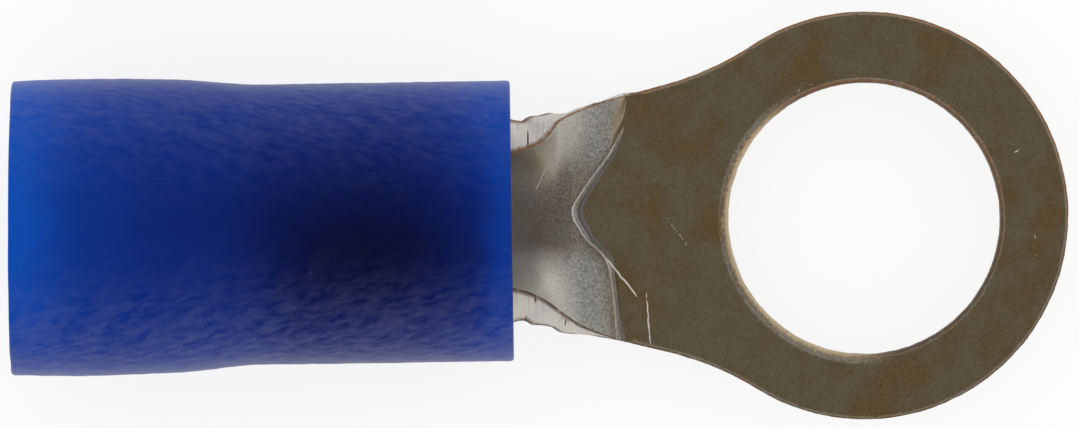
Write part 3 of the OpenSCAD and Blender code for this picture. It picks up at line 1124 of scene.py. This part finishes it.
        # Under the painted highlight the trough's walls are made partly matt, which lightens them further.
        wall_highlight_matt = graph.times(bright, graph.spread(grain["Mottle"], 0.25, 0.75, 0.35, 0.55),
                            graph.math("MULTIPLY_ADD", scaly, -0.35, 1.0))
        matt = graph.most(wall_highlight_matt, graph.times(trough, 0.14), graph.times(cut, 0.8), graph.times(rusty, 0.9),
                          graph.times(lit, 0.8), graph.times(ribbon, 0.7), graph.times(foot, 0.9), groove,
                          graph.times(crackle, scaly, 0.6), lit_rim, dark)
        graph.feed(shader.inputs["Metallic"], graph.minus(1.0, matt))
        rough = graph.total(graph.spread(grain["Mottle"], 0.3, 0.7, 0.24, 0.28), graph.times(trough, 0.1))
        rough = graph.most(rough, graph.times(marks, 0.6), graph.times(specks, 0.5),
                           graph.times(cut, 0.75), graph.times(dark, 0.6))
        graph.feed(shader.inputs["Roughness"], rough)
        height = graph.total(graph.times(grain["Grain"], 0.06), graph.times(scale, scaly, 4.0),
                             graph.times(scale, trough, 0.5), graph.times(torn, cut, 2.5),
                             graph.times(specks, 0.6), graph.times(marks, -0.8))
        graph.feed(shader.inputs["Normal"], graph.bump(height, 0.01 * MM))
        return material


@dataclass(frozen=True)
class BlueVinyl:
    """Soft blue vinyl: navy over the barrel, glowing where light comes through the wall."""

    axis_y: float
    axis_z: float
    front_x: float
    rear_x: float
    barrel_rear_x: float
    # Lavender for the real dust specks and for the painted sheen along the sides.
    dust_and_sheen: Colour = (0.20, 0.21, 0.36, 1)
    # Blue light coming through the wall, by the share of the length from the rear end:
    # along the top line, and along the +Y side.
    top_glow: Curve = (
        (0.0, 0.43), (0.035, 0.405), (0.08, 0.335), (0.14, 0.247), (0.2, 0.213), (0.3, 0.166), (0.42, 0.138),
        (0.5, 0.095), (0.58, 0.053), (0.66, 0.037), (0.74, 0.033), (0.82, 0.048), (0.88, 0.08),
        (0.92, 0.112), (0.95, 0.172), (0.975, 0.245), (1.0, 0.26),
    )
    side_glow: Curve = (
        (0.0, 0.46), (0.08, 0.41), (0.14, 0.35), (0.2, 0.32), (0.42, 0.27), (0.58, 0.225), (0.82, 0.235),
        (0.88, 0.27), (0.95, 0.35), (1.0, 0.37),
    )

    def turn(self, graph: Graph, place: Socket) -> Socket:
        """Returns how far a point lies round towards +Y, from -1 to 1."""
        _, y, z = graph.split(place)
        across, up = graph.minus(y, self.axis_y), graph.minus(z, self.axis_z)
        reach = graph.math("SQRT", graph.total(graph.times(across, across), graph.times(up, up)))
        return graph.math("DIVIDE", across, reach)

    def glow(self, graph: Graph, place: Socket, turn: Socket) -> Socket:
        """Returns the blue light that comes through the wall.

        The barrel shades the middle, a little more towards -Y.
        """
        x = graph.split(place)[0]
        share = graph.spread(graph.waver(x, 0.5, place, 1.1), self.rear_x, self.front_x)
        top, side = graph.curve(share, self.top_glow), graph.curve(share, self.side_glow)
        rear, front = self.barrel_rear_x - 0.6, self.barrel_rear_x + 1.0
        from_dark = graph.total(turn, graph.spread(x, rear, front, 0, 0.22))
        far = graph.math("POWER", graph.most(graph.times(from_dark, 0.87), 0.0), 1.6)
        near = graph.math("POWER", graph.most(graph.times(from_dark, -1.33), 0.0), 1.6)
        return graph.total(top, graph.times(far, graph.minus(side, top)),
                           graph.times(near, graph.minus(graph.times(side, 0.72), top)))

    def streaks(self, graph: Graph, place: Socket) -> Socket:
        """Returns the height of the soft wavy streaks that run slantwise along the skin."""
        x, y, z = graph.split(place)
        across = graph.minus(y, self.axis_y)
        angle = graph.math("ARCTAN2", across, graph.minus(z, self.axis_z))
        arc = graph.times(graph.math("ABSOLUTE", angle), 2.85)
        slanted = graph.math("MULTIPLY_ADD", x, 0.3, graph.waver(arc, 0.3, place, 3.1, 3.0))
        at = graph.combine(graph.times(x, 2.8), graph.times(slanted, 6.5), graph.times(across, 0.8))
        return graph.noise(at, 1.0, 3.0, 0.6)

    def material(self, effects: Effects) -> bpy.types.Material:
        """Builds the material.

        Args:
            effects: The groups for specks, scratches and grain.

        Returns:
            The finished material.
        """
        material, graph, shader = new_material("blue_vinyl")
        place = graph.place()
        turn = self.turn(graph, place)
        streak = self.streaks(graph, place)
        grain = graph.use(effects.grain, Place=place, Size=0.05, Patch=0.7).outputs
        specks = graph.use(effects.specks, Place=place, Spacing=0.42, Size=0.03, Share=0.5).outputs[0]
        blue = self.glow(graph, place, turn)
        green = graph.math("POWER", graph.most(blue, 0.0), 1.6)
        green = graph.math("MULTIPLY_ADD", green, 0.26, 0.001)
        colour = graph.combine(0.0, green, blue)
        # A painted sheen: the sides are lightened to lavender along the streaks, half as much again on the -Y
        # side.
        sideways = graph.times(turn, turn)
        sides = graph.spread(turn, -0.2, -0.6, 1.0, 1.5, soft=True)
        foot_tint_and_side_sheen = graph.times(graph.spread(streak, 0.34, 0.68), sideways, sides, 0.24)
        colour = graph.layers(colour, (foot_tint_and_side_sheen, self.dust_and_sheen), (graph.times(specks, 0.1), self.dust_and_sheen))
        graph.feed(shader.inputs["Base Color"], colour)
        graph.feed(shader.inputs["Roughness"], graph.spread(streak, 0.3, 0.7, 0.3, 0.42))
        shader.inputs["IOR"].default_value = 1.45
        shader.inputs["Specular IOR Level"].default_value = 0.1
        shader.inputs["Sheen Weight"].default_value = 0.03
        shader.inputs["Sheen Roughness"].default_value = 0.45
        shader.inputs["Sheen Tint"].default_value = (0.7, 0.75, 1.0, 1)
        height = graph.total(streak, graph.times(grain["Grain"], 0.2), graph.times(specks, 0.35))
        graph.feed(shader.inputs["Normal"], graph.bump(height, 0.013 * MM))
        return material


# ---------------------------------------------------------------------------------------
# Studio
# ---------------------------------------------------------------------------------------

@dataclass(frozen=True)
class Studio:
    """A white table in a white tent that is dim overhead, with the camera looking straight down."""

    floor_z: float
    look_at: tuple[float, float] = (-6.36, 0.18)
    width_seen: float = 21.157
    height: float = 360.0
    turn_deg: float = -0.87
    overhead: Colour = (0.178, 0.148, 0.104, 1)
    front_side: Colour = (0.72, 0.70, 0.66, 1)
    back_side: Colour = (1.0, 1.0, 1.0, 1)
    rear_side: Colour = (0.35, 0.33, 0.30, 1)

    def camera(self) -> None:
        """Makes the camera and hands it to the scene."""
        data = bpy.data.cameras.new("camera")
        data.sensor_width = 36.0
        data.lens = data.sensor_width * self.height / self.width_seen
        data.clip_end = 10.0
        camera = bpy.data.objects.new("camera", data)
        camera.location = Vector((*self.look_at, self.height)) * MM
        camera.rotation_euler = (0, 0, math.radians(self.turn_deg))
        bpy.context.scene.collection.objects.link(camera)
        bpy.context.scene.camera = camera

    def floor(self) -> None:
        """Makes the table, which stays white to the eye and keeps a soft shadow."""
        deselect()
        bpy.ops.mesh.primitive_plane_add(size=4, location=(0, 0, self.floor_z * MM))
        floor = bpy.context.object
        floor.name = "table"
        material = bpy.data.materials.new("white_table")
        material.use_nodes = True
        graph = Graph(material.node_tree)
        shader = material.node_tree.nodes["Principled BSDF"]
        shader.inputs["Base Color"].default_value = (0.8, 0.8, 0.8, 1)
        shader.inputs["Roughness"].default_value = 0.9
        shader.inputs["Specular IOR Level"].default_value = 0.0
        glow = graph.node("ShaderNodeEmission")
        glow.inputs["Strength"].default_value = 0.8
        plain = graph.node("ShaderNodeBsdfDiffuse")
        plain.inputs["Color"].default_value = (0.2, 0.2, 0.2, 1)
        seen = graph.node("ShaderNodeAddShader")
        graph.feed(seen.inputs[0], glow.outputs[0])
        graph.feed(seen.inputs[1], plain.outputs[0])
        choice = graph.node("ShaderNodeMixShader")
        graph.feed(choice.inputs[0], self.seen_by_eye(graph))
        graph.feed(choice.inputs[1], shader.outputs[0])
        graph.feed(choice.inputs[2], seen.outputs[0])
        graph.feed(material.node_tree.nodes["Material Output"].inputs["Surface"], choice.outputs[0])
        floor.data.materials.append(material)

    @staticmethod
    def seen_by_eye(graph: Graph) -> Socket:
        """Returns 1 for camera, glossy and transmission rays."""
        path = graph.node("ShaderNodeLightPath").outputs
        return graph.most(path["Is Camera Ray"], path["Is Glossy Ray"], path["Is Transmission Ray"])

    def world(self) -> None:
        """Makes the tent: even light on matt surfaces, and dim overhead where metal mirrors it."""
        world = bpy.data.worlds.new("tent")
        world.use_nodes = True
        bpy.context.scene.world = world
        graph = Graph(world.node_tree)
        background = world.node_tree.nodes["Background"]
        direction = graph.node("ShaderNodeTexCoord").outputs["Generated"]
        x, y, z = graph.split(graph.vector("NORMALIZE", direction))
        side = graph.mix(graph.spread(y, -0.6, 0.6, soft=True), self.front_side, self.back_side)
        side = graph.mix(graph.spread(x, -0.25, -0.85, soft=True), side, self.rear_side)
        mirrored = graph.mix(graph.spread(z, 0.0, 0.52, soft=True), side, self.overhead)
        colour = graph.mix(self.seen_by_eye(graph), (1, 1, 1, 1), mirrored)
        graph.feed(background.inputs["Color"], colour)
        background.inputs["Strength"].default_value = 1.0
        world.cycles.sampling_method = "NONE"

    def build(self) -> None:
        """Makes the camera, the table and the tent."""
        self.camera()
        self.floor()
        self.world()
        bpy.context.scene.view_settings.view_transform = "Standard"


# ---------------------------------------------------------------------------------------
# Scene
# ---------------------------------------------------------------------------------------

def finish_piece(piece: Piece, node: str, material: bpy.types.Material) -> None:
    """Dresses a piece, sets it on its body and lets it stand for its CAD node.

    Args:
        piece: The finished piece.
        node: The CAD node that it stands for.
        material: The piece's material.
    """
    piece.data.materials.clear()
    piece.data.materials.append(material)
    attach(piece, "root")
    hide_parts(node)
    triangles = sum(len(face.vertices) - 2 for face in piece.data.polygons)
    log.info("%s: %d triangles, stands for %s", piece.name, triangles, node)


def main() -> None:
    """Builds the studio and both pieces."""
    logging.basicConfig(level=logging.INFO, format="%(name)s: %(message)s")
    mounts = {mount["name"]: mount for mount in frame["record"]["mounts"]}
    low, high = (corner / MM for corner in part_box("terminal"))
    sleeve_low, sleeve_high = (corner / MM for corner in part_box("insulating_sleeve"))
    axis_y = (sleeve_low.y + sleeve_high.y) / 2
    axis_z = (sleeve_low.z + sleeve_high.z) / 2
    Studio(floor_z=sleeve_low.z - TABLE_GAP).build()
    radius = {name: mounts[name]["dims"]["r_mm"] for name in ("stud_hole", "wire_barrel", "insulation_entry")}
    terminal = StampedTerminal(hole_r=radius["stud_hole"], ring_r=high.x, axis_y=axis_y, axis_z=axis_z,
                               bore_r=radius["wire_barrel"], rear_x=low.x)
    sleeve = VinylSleeve(axis_y=axis_y, axis_z=axis_z, front_x=sleeve_high.x, rear_x=sleeve_low.x,
                         seat_r=terminal.bore_r + terminal.sheet + SEAT_PLAY,
                         entry_bore=radius["insulation_entry"], barrel_rear_x=low.x)
    effects = Effects()
    tin = TinPlate(hole_r=terminal.hole_r, lean_turn=terminal.lean_turn)
    vinyl = BlueVinyl(axis_y=axis_y, axis_z=axis_z, front_x=sleeve.front_x, rear_x=sleeve.rear_x,
                      barrel_rear_x=sleeve.barrel_rear_x)
    finish_piece(terminal.build(), "terminal", tin.material(effects))
    finish_piece(sleeve.build(), "insulating_sleeve", vinyl.material(effects))


if __name__ == "__main__":
    main()
